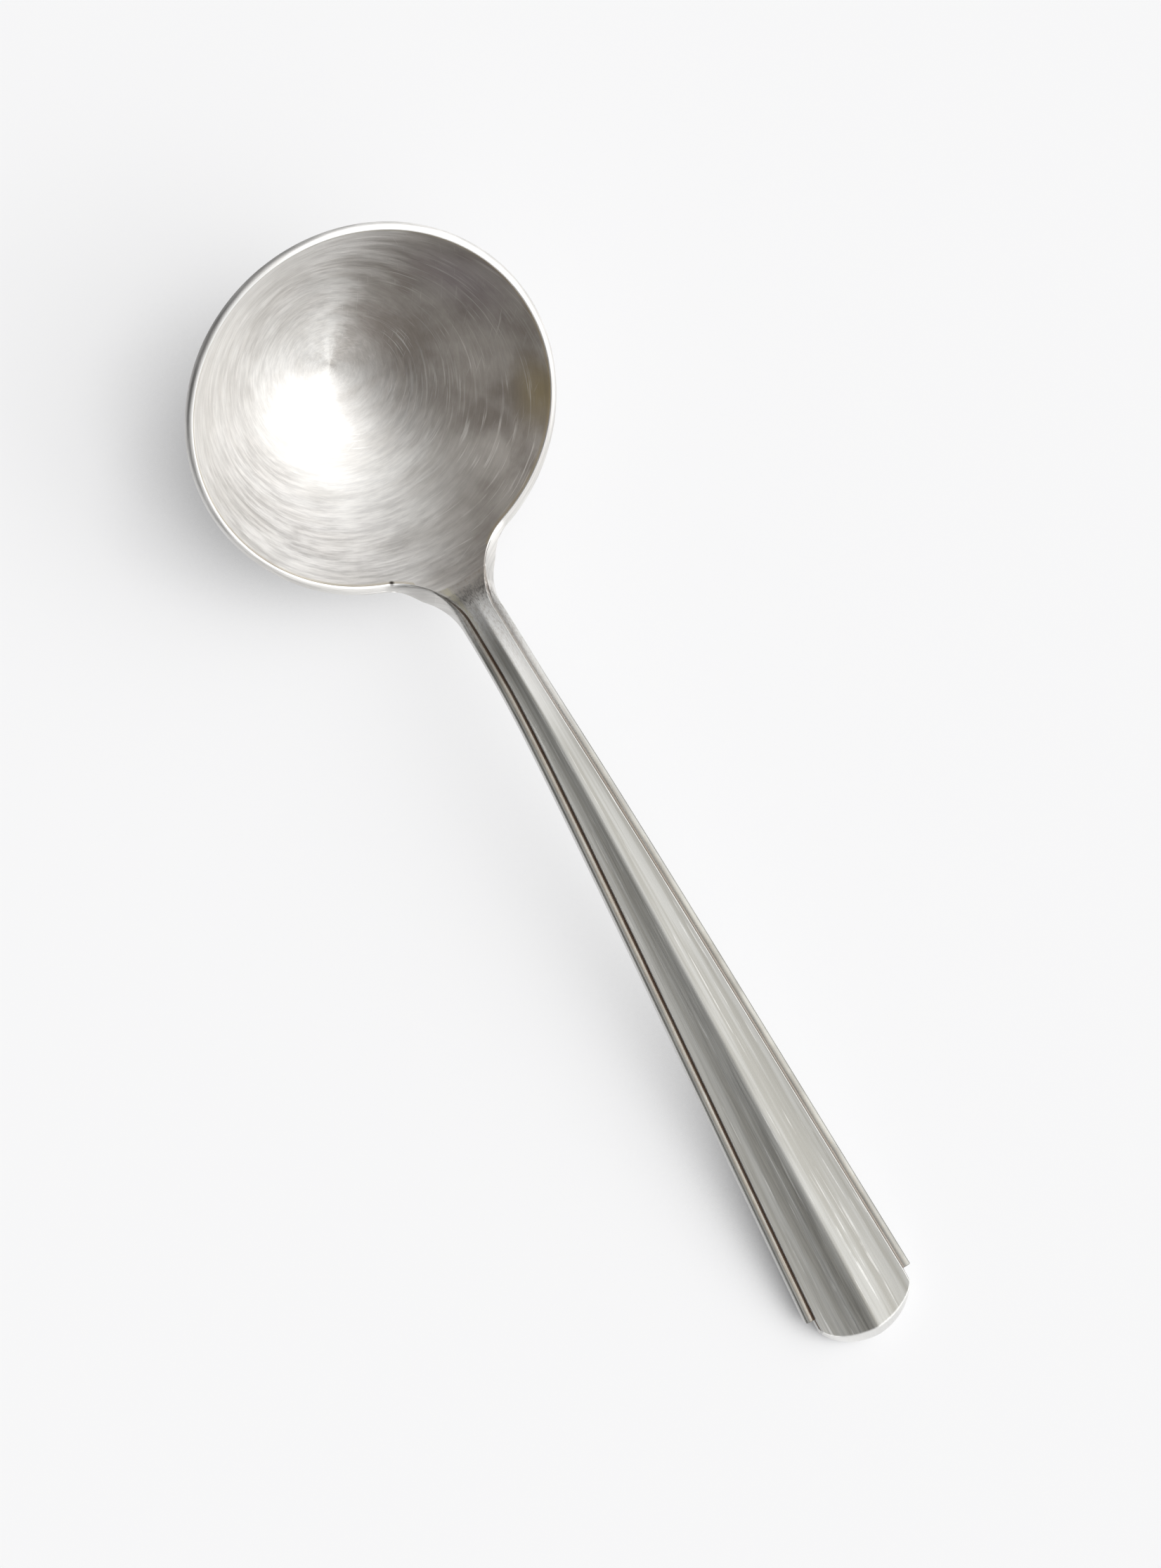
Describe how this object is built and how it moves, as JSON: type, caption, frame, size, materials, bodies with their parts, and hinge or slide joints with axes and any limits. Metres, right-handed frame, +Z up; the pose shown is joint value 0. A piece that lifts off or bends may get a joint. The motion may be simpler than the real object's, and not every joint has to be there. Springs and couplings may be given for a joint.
{
  "type": "sauce ladle",
  "caption": "Small metal sauce ladle with a deep round bowl, a narrow neck and a widening arched handle with flutes on its top.",
  "frame": {"origin": "middle of the worn flat under the bowl, on the table", "axes": "+X from the bowl to the handle's tip, +Z up from the table, +Y to the left seen from the bowl"},
  "size_m": [0.1729, 0.054, 0.0357],
  "materials": {
    "bowl_silver": "worn satin, fine round scratches",
    "handle_silver": "worn satin, tarnish in the grooves",
    "braze_alloy": "dull"
  },
  "bodies": {
    "root": {"bowl": "bowl_silver", "handle": "handle_silver", "braze_film": "braze_alloy"}
  },
  "joints": []
}
